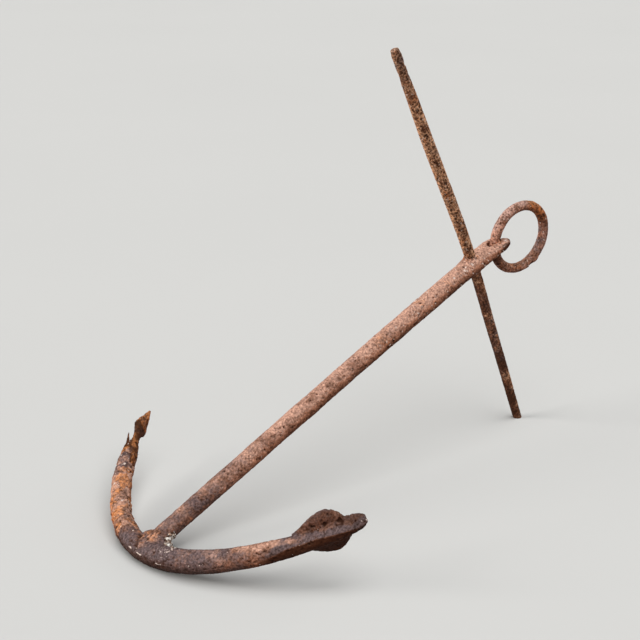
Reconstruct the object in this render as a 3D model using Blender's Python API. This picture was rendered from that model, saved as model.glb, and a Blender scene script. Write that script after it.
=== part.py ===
"""Small stocked anchor of forged iron, rusted through at one fluke.

Three pieces: the forged body (shank, arms, palms and eye are one weld), the round
stock that is driven through the shank, and the ring that has seized in the eye.

Local frame, shared by every piece and carried by one empty: +X runs up the shank
from the crown, +Y goes to the broken fluke, +Z runs up the stock.  The empty tips
that frame into the pose in which the anchor rests, on its crown and the stock's foot.
"""

import math

import bmesh
import bpy
import numpy as np
from mathutils import Matrix, Vector

MM = 0.001

# resting pose
SHANK_PITCH = math.radians(23.46)     # shank above the floor
SHANK_ROLL = math.radians(-1.8)       # whole palm a little higher than the broken one
WORN_CROWN = 0.7 * MM                 # depth of the flat worn under the crown

# arms: one bar bent to a parabola, x = ARM_BEND * y^2
ARM_BEND = 5.65                       # per metre
ARM_CROWN_RADIUS = 8.7 * MM
PALM_START = 122 * MM                 # along the arm, from the crown
BILL_END = 174.5 * MM
BROKEN_START = 100 * MM               # where the corroded arm starts to waste away
STUMP_END = 136.5 * MM                  # where its round bar gives out
STUMP_SHIFT = -0.6 * MM               # its outer skin has gone, so its middle moves inwards
CROWN_LUMP_SIZE = Vector((13.5, 15, 8.2)) * MM    # half-sizes of the forge-weld lump
CROWN_LUMP_CENTRE = Vector((5, 0.3, 0)) * MM
PALM_INNER_FACE = -5.6 * MM           # the palm's flat, inwards of the arm's centreline
PALM_NICK_RADIUS = 3.0 * MM
PALM_NICK_ALONG = 162.5 * MM
PALM_NICK_HEIGHT = 11.2 * MM          # nick's axis above the arm's centreline

# shank
SHANK_LENGTH = 399.5 * MM
SHANK_FOOT_RADIUS = 7.0 * MM
SHANK_HEAD_RADIUS = 8.1 * MM
SHANK_BOW = 1.2 * MM

# eye, forged flat at the shank's head
EYE_HOLE_CENTRE = Vector((390.3, -0.7, 0.0)) * MM
EYE_HOLE_LENGTH = 13.6 * MM           # worn long by the ring
EYE_HOLE_WIDTH = 11.8 * MM
EYE_SKEW = 2.8 * MM                   # the near side of the end outreaches the middle
EYE_DROOP = 1.2 * MM                  # the end is worn thin from above

# stock
STOCK_TOP = 204 * MM
STOCK_FOOT = -168 * MM                # before the foot is worn level
STOCK_CLEARANCE = 0.35 * MM
STOCK_NOTCH_RADIUS = 3.4 * MM
STOCK_NOTCH_HEIGHT = 191 * MM
STOCK_NOTCH_OFFSET = Vector((4.8, -3.4, 0.0)) * MM

# ring
RING_RADIUS = 27.7 * MM
RING_WIRE_RADIUS = 4.25 * MM
RING_CENTRE = Vector((416.2, -3.3, -8.0)) * MM
RING_AXIS = Vector((-0.115, -0.99, -0.065))

SHARP_EDGE = math.radians(40)
FLOOR_SIZE = 1.2
FLOOR_DEPTH = 0.1

parts = None
cutters = None


def clear_scene():
    for obj in list(bpy.data.objects):
        bpy.data.objects.remove(obj, do_unlink=True)


def new_collection(name):
    collection = bpy.data.collections.new(name)
    bpy.context.scene.collection.children.link(collection)
    return collection


def iron(name, colour, roughness, metallic):
    material = bpy.data.materials.new(name)
    material.use_nodes = True
    shader = material.node_tree.nodes["Principled BSDF"]
    shader.inputs["Base Color"].default_value = (*colour, 1.0)
    shader.inputs["Roughness"].default_value = roughness
    shader.inputs["Metallic"].default_value = metallic
    return material


def mesh_object(name, mesh, collection):
    obj = bpy.data.objects.new(name, mesh)
    collection.objects.link(obj)
    return obj


def as_cutter(obj):
    obj.hide_render = True
    obj.display_type = 'WIRE'
    return obj


def loft(name, sections, collection):
    """Skin a list of closed sections, each with the same number of points."""
    bm = bmesh.new()
    rings = [[bm.verts.new(point) for point in section] for section in sections]
    count = len(rings[0])
    for lower, upper in zip(rings, rings[1:]):
        for i in range(count):
            j = (i + 1) % count
            bm.faces.new((lower[i], lower[j], upper[j], upper[i]))
    bm.faces.new(reversed(rings[0]))
    bm.faces.new(rings[-1])
    bmesh.ops.recalc_face_normals(bm, faces=bm.faces)
    mesh = bpy.data.meshes.new(name)
    bm.to_mesh(mesh)
    bm.free()
    return mesh_object(name, mesh, collection)


def bar(name, path, radii, sides, collection):
    """A round bar along a path, as a mesh with welded caps."""
    curve = bpy.data.curves.new(name, 'CURVE')
    curve.dimensions = '3D'
    curve.bevel_depth = 1.0 * MM
    curve.bevel_resolution = (sides - 4) // 2
    curve.use_fill_caps = True
    spline = curve.splines.new('POLY')
    spline.points.add(len(path) - 1)
    for point, place, radius in zip(spline.points, path, radii):
        point.co = (*place, 1.0)
        point.radius = radius / (1.0 * MM)
    guide = bpy.data.objects.new(name + "_curve", curve)
    collection.objects.link(guide)
    bpy.context.view_layer.update()
    graph = bpy.context.evaluated_depsgraph_get()
    mesh = bpy.data.meshes.new_from_object(guide.evaluated_get(graph))
    bm = bmesh.new()
    bm.from_mesh(mesh)
    bmesh.ops.remove_doubles(bm, verts=bm.verts, dist=0.00001)
    bmesh.ops.recalc_face_normals(bm, faces=bm.faces)
    bm.to_mesh(mesh)
    bm.free()
    obj = mesh_object(name, mesh, collection)
    obj.matrix_world = guide.matrix_world.copy()
    bpy.data.objects.remove(guide, do_unlink=True)
    return obj


def combine(target, tool, operation):
    modifier = target.modifiers.new(tool.name, 'BOOLEAN')
    modifier.operation = operation
    modifier.solver = 'EXACT'
    modifier.object = tool


def interpolate(stations, values, at):
    return float(np.interp(at, stations, values))


# --- the arms' curve ---------------------------------------------------------

def arm_place(along):
    """Centre, tangent and outward normal of the arm at a signed length from the crown."""
    ys = np.linspace(0.0, 160 * MM, 641)
    xs = ARM_BEND * ys ** 2
    lengths = np.concatenate(([0.0], np.cumsum(np.hypot(np.diff(xs), np.diff(ys)))))
    side = 1.0 if along >= 0.0 else -1.0
    y = float(np.interp(abs(along), lengths, ys))
    centre = Vector((ARM_BEND * y * y, side * y, 0.0))
    tangent = Vector((2.0 * ARM_BEND * y, side, 0.0)).normalized()
    outward = Vector((-tangent.y * side, tangent.x * side, 0.0)).normalized()
    return centre, tangent, outward


def arm_radius(along):
    """Negative lengths run to the whole palm, positive ones to the wasted stump."""
    if along > 0.0:
        stations = [0.0, 35 * MM, 60 * MM, BROKEN_START, 118 * MM, 130 * MM, STUMP_END]
        radii = [ARM_CROWN_RADIUS, 8.4 * MM, 7.9 * MM, 7.4 * MM, 7.0 * MM, 5.9 * MM, 4.4 * MM]
    else:
        stations = [0.0, 60 * MM, 100 * MM, PALM_START, 150 * MM, 166 * MM]
        radii = [ARM_CROWN_RADIUS, 8.5 * MM, 7.7 * MM, 7.0 * MM, 5.6 * MM, 4.2 * MM]
    return interpolate(stations, radii, abs(along))


def make_arms():
    """Bent bar from the whole palm's bill (-Y) to the stump of the broken fluke (+Y)."""
    stations = np.linspace(-166 * MM, STUMP_END, 53)
    path = []
    for s in stations:
        centre, _, outward = arm_place(s)
        path.append(centre + outward * interpolate([BROKEN_START, 118 * MM], [0.0, STUMP_SHIFT], s))
    radii = [arm_radius(s) for s in stations]
    return as_cutter(bar("arms", path, radii, 24, cutters))


def palm_section(along, upper, lower, ridge, plate, sweep):
    """Roof-shaped section: a ridge on the outer face, wings swept to the inner face."""
    centre, _, outward = arm_place(along)
    up = Vector((0.0, 0.0, 1.0))
    inner = PALM_INNER_FACE
    outline = [
        (0.0, ridge),
        (0.13, ridge * 0.82),
        (0.42, inner + plate + 0.30 * (ridge - inner - plate)),
        (0.80, inner + plate * 0.9 - sweep * 0.4),
        (1.0, inner + plate * 0.55 - sweep),
        (0.96, inner - sweep),
        (0.55, inner - sweep * 0.25),
        (0.0, inner + 0.4 * MM),
    ]
    top = [centre + outward * n + up * (upper * w) for w, n in outline]
    bottom = [centre + outward * n - up * (lower * w) for w, n in outline[-2:0:-1]]
    return top + bottom


def make_palm():
    """The whole palm, a spade on the arm's inner face that ends in a blunt bill."""
    stations = [PALM_START, 128 * MM, 134 * MM, 140 * MM, 146 * MM, 150 * MM, 154 * MM,
                158 * MM, 161 * MM, 165 * MM, 169 * MM, 172.5 * MM, BILL_END]
    uppers = [6.4, 9.4, 13.2, 16.4, 18.0, 18.2, 16.6, 12.6, 8.6, 7.3, 6.4, 4.8, 2.6]
    lowers = [6.6, 10.6, 14.6, 18.0, 19.8, 19.5, 17.2, 13.2, 9.6, 8.3, 7.5, 5.8, 3.2]
    ridges = [6.4, 6.2, 5.8, 5.4, 5.0, 4.7, 4.4, 4.0, 3.6, 3.1, 2.5, 1.4, 0.2]
    plates = [3.0, 3.2, 3.4, 3.4, 3.4, 3.4, 3.4, 3.6, 3.8, 3.8, 3.6, 3.0, 2.4]
    sweeps = [0.0, 0.3, 0.8, 1.2, 1.5, 1.5, 1.3, 0.9, 0.5, 0.3, 0.1, 0.0, 0.0]
    sections = [palm_section(-s, up * MM, low * MM, r * MM, p * MM, k * MM)
                for s, up, low, r, p, k in zip(stations, uppers, lowers, ridges, plates, sweeps)]
    return as_cutter(loft("palm", sections, cutters))


def make_palm_nick():
    """Cutter for the bite out of the palm's upper edge, just behind the bill."""
    centre, _, outward = arm_place(-PALM_NICK_ALONG)
    bpy.ops.mesh.primitive_cylinder_add(vertices=12, radius=PALM_NICK_RADIUS, depth=20 * MM)
    nick = bpy.context.object
    nick.name = "palm_nick"
    place = centre + Vector((0.0, 0.0, PALM_NICK_HEIGHT)) - outward * PALM_NICK_RADIUS
    turn = outward.to_track_quat('Z', 'X').to_matrix().to_4x4()
    nick.matrix_world = Matrix.Translation(place) @ turn
    move_to(nick, cutters)
    return as_cutter(nick)


def move_to(obj, collection):
    for owner in list(obj.users_collection):
        owner.objects.unlink(obj)
    collection.objects.link(obj)


def make_remnant():
    """What is left of the broken palm: a narrow neck, then a twisted diamond of plate."""
    stations = [130, 138, 142, 146, 150.5, 154, 158, 163, 168, 173, 178, 180.5]
    tops = [4.0, 2.0, 2.2, 3.4, 6.0, 7.8, 6.4, 4.4, 2.4, 0.4, -1.8, -3.2]
    bottoms = [-4.6, -5.4, -5.8, -5.8, -6.4, -9.4, -10.6, -9.4, -8.4, -7.0, -5.6, -4.6]
    offsets = [-1.2, -1.2, -0.9, -0.6, -0.5, -0.4, -0.5, -0.6, -0.6, -0.7, -0.8, -0.8]
    halves = [2.6, 2.3, 2.0, 1.8, 1.8, 1.9, 1.8, 1.7, 1.5, 1.2, 0.8, 0.5]
    sections = []
    for s, top, bottom, offset, half in zip(stations, tops, bottoms, offsets, halves):
        centre, _, outward = arm_place(s * MM)
        up = Vector((0.0, 0.0, 1.0))
        middle = 0.5 * (top + bottom)
        outline = [
            (top, offset + 0.2 * half),
            (0.5 * (top + middle), offset + 0.9 * half),
            (middle, offset + half),
            (0.5 * (bottom + middle), offset + 0.8 * half),
            (bottom, offset + 0.1 * half),
            (bottom + 0.5, offset - 0.5 * half),
            (middle - 0.4, offset - 1.2 * half),
            (top - 0.6, offset - 0.5 * half),
        ]
        sections.append([centre + outward * (n * MM) + up * (z * MM) for z, n in outline])
    return as_cutter(loft("remnant", sections, cutters))


def make_splinter():
    """Thin sliver of the arm's outer skin that outlasted the rest."""
    stations = [122 * MM, 137 * MM, 146.5 * MM]
    rises = [0.5 * MM, 1.5 * MM, 3.9 * MM]
    offsets = [2.8 * MM, 3.6 * MM, 4.3 * MM]
    path = []
    for s, rise, offset in zip(stations, rises, offsets):
        centre, _, outward = arm_place(s)
        path.append(centre + outward * offset + Vector((0.0, 0.0, rise)))
    return as_cutter(bar("splinter", path, [2.6 * MM, 1.5 * MM, 0.45 * MM], 8, cutters))


# --- shank, crown and eye ----------------------------------------------------

def shank_section(along, half_width, half_thickness, squareness, wear, sides=24):
    """Superellipse across the shank: a circle at squareness 2, a slab when larger.

    Wear grows from 0 to 1 over the eye, and skews and lowers its end.
    """
    bow = SHANK_BOW * math.sin(math.pi * min(max(along / SHANK_LENGTH, 0.0), 1.0))
    lift = bow - wear * EYE_DROOP
    points = []
    for i in range(sides):
        angle = 2.0 * math.pi * (i + 0.5) / sides
        c = math.cos(angle)
        s = math.sin(angle)
        y = half_width * math.copysign(abs(c) ** (2.0 / squareness), c)
        z = half_thickness * math.copysign(abs(s) ** (2.0 / squareness), s)
        points.append(Vector((along - wear * EYE_SKEW * y / half_width, y, z + lift)))
    return points


def make_shank():
    """Round bar from the crown to the head, where it spreads into the flat of the eye."""
    stations = [0, 12, 60, 110, 160, 210, 260, 305, 335, 350, 361, 371, 379, 385,
                390, 394, 397, 399.5]
    widths = []
    heights = []
    for s in stations:
        radius = interpolate([0, 340], [SHANK_FOOT_RADIUS, SHANK_HEAD_RADIUS], s)
        swell = interpolate([335, 350, 361, 371, 379, 385, 390, 394, 397, 399.5],
                            [0, 0.5, 1.2, 1.5, 2.3, 3.1, 3.5, 2.9, 1.6, -0.9], s)
        thin = interpolate([335, 350, 361, 371, 379, 385, 390, 397, 399.5],
                           [0, 0.3, 0.6, 1.3, 2.5, 3.3, 3.7, 4.6, 5.3], s)
        widths.append(radius + swell * MM)
        heights.append(radius - thin * MM)
    square = [interpolate([350, 385, 399.5], [2.0, 3.0, 4.0], s) for s in stations]
    wears = [interpolate([371, 399.5], [0.0, 1.0], s) for s in stations]
    sections = [shank_section(s * MM, w, h, q, k)
                for s, w, h, q, k in zip(stations, widths, heights, square, wears)]
    return loft("anchor_body", sections, parts)


def make_crown():
    """Forge-weld lump where the shank runs into the arms."""
    bpy.ops.mesh.primitive_uv_sphere_add(segments=20, ring_count=12, radius=1.0)
    lump = bpy.context.object
    lump.name = "crown_weld"
    lump.scale = CROWN_LUMP_SIZE
    lump.location = CROWN_LUMP_CENTRE
    bpy.context.view_layer.update()
    lump.data.transform(lump.matrix_world)
    lump.matrix_world = Matrix.Identity(4)
    move_to(lump, cutters)
    return as_cutter(lump)


def make_eye_hole():
    """Oval hole through the flat of the eye, parallel with the stock."""
    bpy.ops.mesh.primitive_cylinder_add(vertices=24, radius=0.5, depth=40 * MM)
    hole = bpy.context.object
    hole.name = "eye_hole"
    hole.data.transform(Matrix.Diagonal((EYE_HOLE_LENGTH, EYE_HOLE_WIDTH, 1.0, 1.0)))
    hole.location = EYE_HOLE_CENTRE
    move_to(hole, cutters)
    return as_cutter(hole)


# --- stock and ring ----------------------------------------------------------

def stock_centre(z):
    """The stock leans off the square a little above and below the shank."""
    heights = [-168, -120, -60, -20, 0, 35, 80, 120, 160, 204]
    places = [356.6, 358.5, 360.3, 362.2, 362.5, 362.2, 360.0, 357.9, 356.8, 355.2]
    return Vector((interpolate([h * MM for h in heights], places, z) * MM, 0.0, z))


def stock_radius(z):
    stations = [-170, -115, -60, -15, 15, 60, 105, 150, 174, 181, 188, 199, 204]
    radii = [3.7, 4.05, 4.25, 4.5, 4.65, 4.95, 5.05, 4.7, 4.2, 3.6, 3.9, 4.0, 3.3]
    return interpolate([s * MM for s in stations], radii, z) * MM


def make_stock():
    stations = [z * MM for z in (-150, -120, -90, -60, -35, -20, 0, 20, 35, 60, 80, 100,
                                 120, 140, 160, 174, 178, 181, 184, 188, 194, 199)]
    stations = [STOCK_FOOT] + stations + [STOCK_TOP]
    path = [stock_centre(z) for z in stations]
    radii = [stock_radius(z) for z in stations]
    return bar("stock", path, radii, 16, parts)


def make_stock_hole():
    """The stock's own shape, a clearance larger, through the shank."""
    stations = [-20 * MM, 0.0, 20 * MM]
    path = [stock_centre(z) for z in stations]
    radii = [stock_radius(z) + STOCK_CLEARANCE for z in stations]
    return as_cutter(bar("stock_hole", path, radii, 24, cutters))


def make_stock_notch():
    """Cutter for the rusted pocket in the side of the stock's top end."""
    bpy.ops.mesh.primitive_uv_sphere_add(segments=12, ring_count=8, radius=STOCK_NOTCH_RADIUS)
    notch = bpy.context.object
    notch.name = "stock_notch"
    notch.location = stock_centre(STOCK_NOTCH_HEIGHT) + STOCK_NOTCH_OFFSET
    move_to(notch, cutters)
    return as_cutter(notch)


def make_ring():
    bpy.ops.mesh.primitive_torus_add(major_radius=RING_RADIUS, minor_radius=RING_WIRE_RADIUS,
                                     major_segments=56, minor_segments=14)
    ring = bpy.context.object
    ring.name = "ring"
    ring.location = RING_CENTRE
    ring.rotation_mode = 'QUATERNION'
    ring.rotation_quaternion = RING_AXIS.to_track_quat('Z', 'X')
    move_to(ring, parts)
    return ring


# --- pose --------------------------------------------------------------------

def make_floor():
    """Half-space below the floor, which wears the crown and the stock's foot flat."""
    bpy.ops.mesh.primitive_cube_add(size=1.0)
    floor = bpy.context.object
    floor.name = "floor"
    floor.data.transform(Matrix.Diagonal((FLOOR_SIZE, FLOOR_SIZE, FLOOR_DEPTH, 1.0)))
    floor.data.transform(Matrix.Translation((0.0, 0.0, -0.5 * FLOOR_DEPTH)))
    move_to(floor, cutters)
    return as_cutter(floor)


def extents(objects):
    """Lowest and highest world corner of the objects as the viewport evaluates them."""
    bpy.context.view_layer.update()
    graph = bpy.context.evaluated_depsgraph_get()
    corners = []
    for obj in objects:
        shown = obj.evaluated_get(graph)
        corners += [shown.matrix_world @ vertex.co for vertex in shown.data.vertices]
    low = Vector([min(c[i] for c in corners) for i in range(3)])
    high = Vector([max(c[i] for c in corners) for i in range(3)])
    return low, high


def rest_on_floor(pieces, tools):
    """Tip everything into the resting pose, centred over the origin."""
    frame = bpy.data.objects.new("resting_frame", None)
    parts.objects.link(frame)
    for obj in pieces + tools:
        obj.parent = frame
    pitch = Matrix.Rotation(-SHANK_PITCH, 4, 'Y')
    roll = Matrix.Rotation(SHANK_ROLL, 4, 'X')
    frame.matrix_world = pitch @ roll
    body_low, _ = extents(pieces[:1])
    low, high = extents(pieces)
    shift = Vector((-0.5 * (low.x + high.x), -0.5 * (low.y + high.y), -body_low.z - WORN_CROWN))
    frame.matrix_world = Matrix.Translation(shift) @ pitch @ roll


def finish(obj, material):
    obj.data.materials.clear()
    obj.data.materials.append(material)
    obj.data.shade_smooth()
    obj.data.set_sharp_from_angle(angle=SHARP_EDGE)


def main():
    global parts, cutters
    clear_scene()
    parts = new_collection("anchor")
    cutters = new_collection("cutters")

    body = make_shank()
    stock = make_stock()
    ring = make_ring()

    unions = [make_arms(), make_crown(), make_palm(), make_remnant(), make_splinter()]
    cuts = [make_palm_nick(), make_eye_hole(), make_stock_hole()]
    for tool in unions:
        combine(body, tool, 'UNION')
    for tool in cuts:
        combine(body, tool, 'DIFFERENCE')
    notch = make_stock_notch()
    combine(stock, notch, 'DIFFERENCE')

    rest_on_floor([body, stock, ring], unions + cuts + [notch])
    floor = make_floor()
    combine(body, floor, 'DIFFERENCE')
    combine(stock, floor, 'DIFFERENCE')

    finish(body, iron("rusted_forging", (0.16, 0.075, 0.05), 0.85, 0.1))
    finish(stock, iron("rusted_rod", (0.19, 0.09, 0.045), 0.88, 0.1))
    finish(ring, iron("rusted_ring", (0.20, 0.095, 0.065), 0.85, 0.1))


main()
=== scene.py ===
"""Dress a rusted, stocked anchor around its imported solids.

The file is laid out as a Blender add-on and is run as a script.  Each operator builds one
piece of the anchor, or the stage it stands on.  Lengths are in metres.
"""

import math

import bmesh
import bpy
from bpy.props import FloatProperty, FloatVectorProperty, IntProperty, PointerProperty
from mathutils import Matrix, Vector, noise
from mathutils.bvhtree import BVHTree


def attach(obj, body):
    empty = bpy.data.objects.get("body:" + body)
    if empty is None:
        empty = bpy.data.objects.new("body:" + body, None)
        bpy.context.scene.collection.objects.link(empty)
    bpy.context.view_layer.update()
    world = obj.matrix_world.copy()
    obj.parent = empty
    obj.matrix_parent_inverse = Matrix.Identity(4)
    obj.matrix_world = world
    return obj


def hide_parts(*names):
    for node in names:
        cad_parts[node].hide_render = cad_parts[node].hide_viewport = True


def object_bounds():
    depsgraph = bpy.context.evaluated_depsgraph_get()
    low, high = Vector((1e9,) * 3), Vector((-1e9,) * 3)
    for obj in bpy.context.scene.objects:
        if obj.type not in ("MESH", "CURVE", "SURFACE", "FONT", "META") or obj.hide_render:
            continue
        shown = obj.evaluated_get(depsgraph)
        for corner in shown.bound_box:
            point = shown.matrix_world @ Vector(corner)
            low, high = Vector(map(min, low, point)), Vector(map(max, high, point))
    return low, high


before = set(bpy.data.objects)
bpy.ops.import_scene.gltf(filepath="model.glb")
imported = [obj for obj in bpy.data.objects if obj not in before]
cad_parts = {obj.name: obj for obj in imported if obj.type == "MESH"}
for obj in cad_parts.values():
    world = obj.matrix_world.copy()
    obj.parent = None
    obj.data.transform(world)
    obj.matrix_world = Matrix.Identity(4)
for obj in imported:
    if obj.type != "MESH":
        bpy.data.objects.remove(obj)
cad_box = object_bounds()

bl_info = {
    "name": "Rusted anchor",
    "version": (1, 0, 0),
    "blender": (4, 5, 0),
    "location": "View3D > Sidebar > Anchor",
    "description": "Builds the rust, pits and flakes of an old stocked anchor",
    "category": "Object",
}

MM = 0.001

# The anchor's own axes: +X up the shank, +Y to the broken fluke, +Z up the stock.
SHANK_PITCH = math.radians(23.46)
SHANK_ROLL = math.radians(-1.8)
CROWN_CENTRE = Vector((-204.06, -1.37, 7.98)) * MM
ANCHOR_AXES = (Matrix.Translation(CROWN_CENTRE)
               @ Matrix.Rotation(-SHANK_PITCH, 4, 'Y')
               @ Matrix.Rotation(SHANK_ROLL, 4, 'X'))
TO_ANCHOR = ANCHOR_AXES.inverted()

ARM_BEND = 5.65                    # the arms follow x = ARM_BEND * y^2, per metre
CAMERA_PLACE = Vector((-0.7028, -0.7601, 0.5048))
CAMERA_LOOK = Vector((0.6200, 0.7082, -0.3376))
CAMERA_LENS = 80.1
MOST_TRIANGLES = 196000            # on one piece
SAME_PLACE = 0.000001              # corners closer than this are one
NOISE_SEED = 11                    # without one, noise_vector changes from run to run
COLLAR_STEPS = 48
FLOOR_RADIUS = 30.0
MASKS = ("tan", "film", "orange", "dark", "chips")


# --- settings ------------------------------------------------------------------

class SurfaceSettings(bpy.types.PropertyGroup):
    body_face: FloatProperty(
        name="Body face size", description="Edge of one face on the forged body",
        default=0.46 * MM, unit='LENGTH', precision=5)
    rod_face: FloatProperty(
        name="Rod face size", description="Edge of one face on the stock and the ring",
        default=0.36 * MM, unit='LENGTH', precision=5)
    waviness: FloatProperty(
        name="Forging waviness", description="Height of the hammered unevenness",
        default=0.34 * MM, unit='LENGTH', precision=5)
    grain: FloatProperty(
        name="Rust grain", description="Height of the coarse rust grain",
        default=0.20 * MM, unit='LENGTH', precision=5)
    pit_depth: FloatProperty(
        name="Pit depth", description="Depth of the deepest corrosion pits",
        default=0.75 * MM, unit='LENGTH', precision=5)
    scale_thickness: FloatProperty(
        name="Scale thickness", description="Thickness of the flaking layers on the broken arm",
        default=1.35 * MM, unit='LENGTH', precision=5)
    seed: IntProperty(
        name="Seed", description="Shifts every rust pattern", default=3)


class ColourSettings(bpy.types.PropertyGroup):
    brown: FloatVectorProperty(
        name="Brown rust", description="Middle brown that lies under the other colours",
        subtype='COLOR', size=3, default=(0.219, 0.105, 0.068))
    tan: FloatVectorProperty(
        name="Dry rust", description="Pale, dry, pinkish tan",
        subtype='COLOR', size=3, default=(0.485, 0.272, 0.197))
    film: FloatVectorProperty(
        name="Oxide film", description="Cool mauve-brown film of old rust",
        subtype='COLOR', size=3, default=(0.110, 0.075, 0.074))
    orange: FloatVectorProperty(
        name="Fresh rust", description="Bright orange rust under lifted scale",
        subtype='COLOR', size=3, default=(0.56, 0.217, 0.078))
    # Pit brown; the dark mask also uses it for painted shade on faces that point down, below the
    # palm's ridge, under the crown and at the eye's end.
    dark: FloatVectorProperty(
        name="Pits", description="Dark brown of the pits, also painted shade",
        subtype='COLOR', size=3, default=(0.040, 0.014, 0.006))
    # Pale flecks; the same colour paints highlights and glints.
    chip: FloatVectorProperty(
        name="Pale flecks and painted highlights", description="Pale, dry flecks, also painted highlights",
        subtype='COLOR', size=3, default=(0.66, 0.52, 0.45))
    crust: FloatVectorProperty(
        name="Crust", description="Chalky deposit beside the shank's foot",
        subtype='COLOR', size=3, default=(0.52, 0.47, 0.41))


class StageSettings(bpy.types.PropertyGroup):
    floor: FloatVectorProperty(
        name="Floor", description="Colour of the plain floor",
        subtype='COLOR', size=3, default=(0.50, 0.495, 0.48))
    overhead_light: FloatProperty(
        name="Overhead light", description="Strength of the wide, soft light above",
        default=2.75)
    left_light: FloatProperty(
        name="Left light", description="Strength of the soft light on the left",
        default=2.8)
    front_light: FloatProperty(
        name="Front light", description="Strength of the soft light above the camera",
        default=0.25)
    right_light: FloatProperty(
        name="Right light", description="Strength of the weaker light on the right",
        default=0.55)
    ambient: FloatProperty(
        name="Ambient", description="Strength of the light from all around", default=0.14)


# --- noise ---------------------------------------------------------------------

def smooth(low, high, value):
    """0 below low, 1 above high, and an even S between."""
    t = min(max((value - low) / (high - low), 0.0), 1.0)
    return t * t * (3.0 - 2.0 * t)


def ramp(value, *stops):
    """Level at value between (place, level) stops, flat beyond both ends."""
    if value <= stops[0][0]:
        return stops[0][1]
    for (low, first), (high, second) in zip(stops, stops[1:]):
        if value < high:
            return first + (second - first) * (value - low) / (high - low)
    return stops[-1][1]


def shifted(spot, size, layer):
    """The spot in units of `size`, moved so that each layer has its own pattern."""
    return spot / size + Vector((7.3 * layer, 3.1 * layer, 5.7 * layer))


def lumps(spot, size, layer, octaves=3):
    """Fractal noise, about -1 to 1."""
    return noise.fractal(shifted(spot, size, layer), 1.0, 2.1, octaves)


def pits(spot, size, layer, cover):
    """0 on the skin to 1 at the bottom of round pits that sit in some of the cells."""
    distances, places = noise.voronoi(shifted(spot, size, layer))
    chance = 0.5 + 0.5 * noise.cell(places[0])
    if chance > cover:
        return 0.0
    radius = 0.25 + 0.45 * chance / cover
    return max(0.0, 1.0 - (distances[0] / radius) ** 2) ** 1.5


def plates(spot, size, layer):
    """Broken plates of scale: height, tone, the crack around a plate and its lifted lip."""
    spot = shifted(spot, size, layer)
    distances, places = noise.voronoi(spot + 0.45 * noise.noise_vector(1.6 * spot))
    height = 0.5 + 0.5 * noise.cell(places[0])
    tone = 0.5 + 0.5 * noise.cell(places[0] + Vector((17.0, 5.0, 11.0)))
    inward = distances[1] - distances[0]
    crack = 1.0 - smooth(0.0, 0.20, inward)
    lip = smooth(0.10, 0.22, inward) * smooth(0.46, 0.28, inward)
    return height, tone, crack, lip * smooth(0.5, 0.8, tone)


def terraces(spot, size, layer, steps):
    """Stacked layers with steep edges, 0 to 1, as lifted scale breaks off."""
    height = 0.5 + 0.75 * lumps(spot, size, layer, 4)
    level = min(max(height, 0.0), 1.0) * steps
    tread = math.floor(level)
    return (tread + smooth(0.72, 1.0, level - tread)) / steps


def near(place, centre, radius):
    """1 at the centre and 0 beyond the radius."""
    gap = (place - Vector(centre) * MM).length / (radius * MM)
    return max(0.0, 1.0 - gap * gap)


def beside(place, points, radius):
    """1 on the line through the points and 0 beyond the radius around it."""
    closest = 1.0
    for start, end in zip(points, points[1:]):
        start = Vector(start) * MM
        line = Vector(end) * MM - start
        t = min(max((place - start).dot(line) / line.length_squared, 0.0), 1.0)
        closest = min(closest, (place - start - line * t).length / (radius * MM))
    return 1.0 - closest * closest


def streaks(spot, place, layer):
    """Noise drawn out along the arms, as the fibres of wrought iron are."""
    fibre = Vector((2.0 * ARM_BEND * place.y, 1.0, 0.0)).normalized()
    return lumps(spot - 0.8 * fibre * spot.dot(fibre), 1.7 * MM, layer)


# --- meshes --------------------------------------------------------------------

def freeze(piece):
    """Replace a piece's mesh by the one its modifiers make."""
    bpy.context.view_layer.update()
    graph = bpy.context.evaluated_depsgraph_get()
    mesh = bpy.data.meshes.new_from_object(piece.evaluated_get(graph))
    piece.modifiers.clear()
    piece.data = mesh
    mesh.name = piece.name


def new_piece(name, mesh):
    piece = bpy.data.objects.new(name, mesh)
    bpy.context.scene.collection.objects.link(piece)
    return piece


def even_out(piece, face, passes, crisp=None):
    """Rebuild a piece from small even faces and round them off, less where crisp says so."""
    remesh = piece.modifiers.new("even_faces", 'REMESH')
    remesh.mode = 'VOXEL'
    remesh.voxel_size = face
    freeze(piece)
    relax = piece.modifiers.new("relax", 'SMOOTH')
    relax.factor = 0.5
    relax.iterations = passes
    if crisp:
        group = piece.vertex_groups.new(name="soft")
        for vertex in piece.data.vertices:
            group.add((vertex.index,), 1.0 - crisp(TO_ANCHOR @ vertex.co), 'REPLACE')
        relax.vertex_group = group.name
    freeze(piece)
    piece.vertex_groups.clear()


def refined_copy(node_name, piece_name, face, passes, crisp=None):
    """Copy a solid and rebuild it from small even faces."""
    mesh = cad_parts[node_name].data.copy()
    mesh.materials.clear()
    bm = bmesh.new()
    bm.from_mesh(mesh)
    bmesh.ops.remove_doubles(bm, verts=bm.verts, dist=SAME_PLACE)
    bm.to_mesh(mesh)
    bm.free()
    piece = new_piece(piece_name, mesh)
    even_out(piece, face, passes, crisp)
    return piece


def lumpy_piece(name, balls, face):
    """Melt overlapping balls, given as (centre, radius) in millimetres, into one lump."""
    bm = bmesh.new()
    for centre, radius in balls:
        ball = bmesh.ops.create_icosphere(bm, subdivisions=3, radius=radius * MM)
        move = ANCHOR_AXES @ Matrix.Translation(Vector(centre) * MM)
        bmesh.ops.transform(bm, matrix=move, verts=ball["verts"])
    mesh = bpy.data.meshes.new(name)
    bm.to_mesh(mesh)
    bm.free()
    piece = new_piece(name, mesh)
    even_out(piece, face, 3)
    return piece


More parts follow.
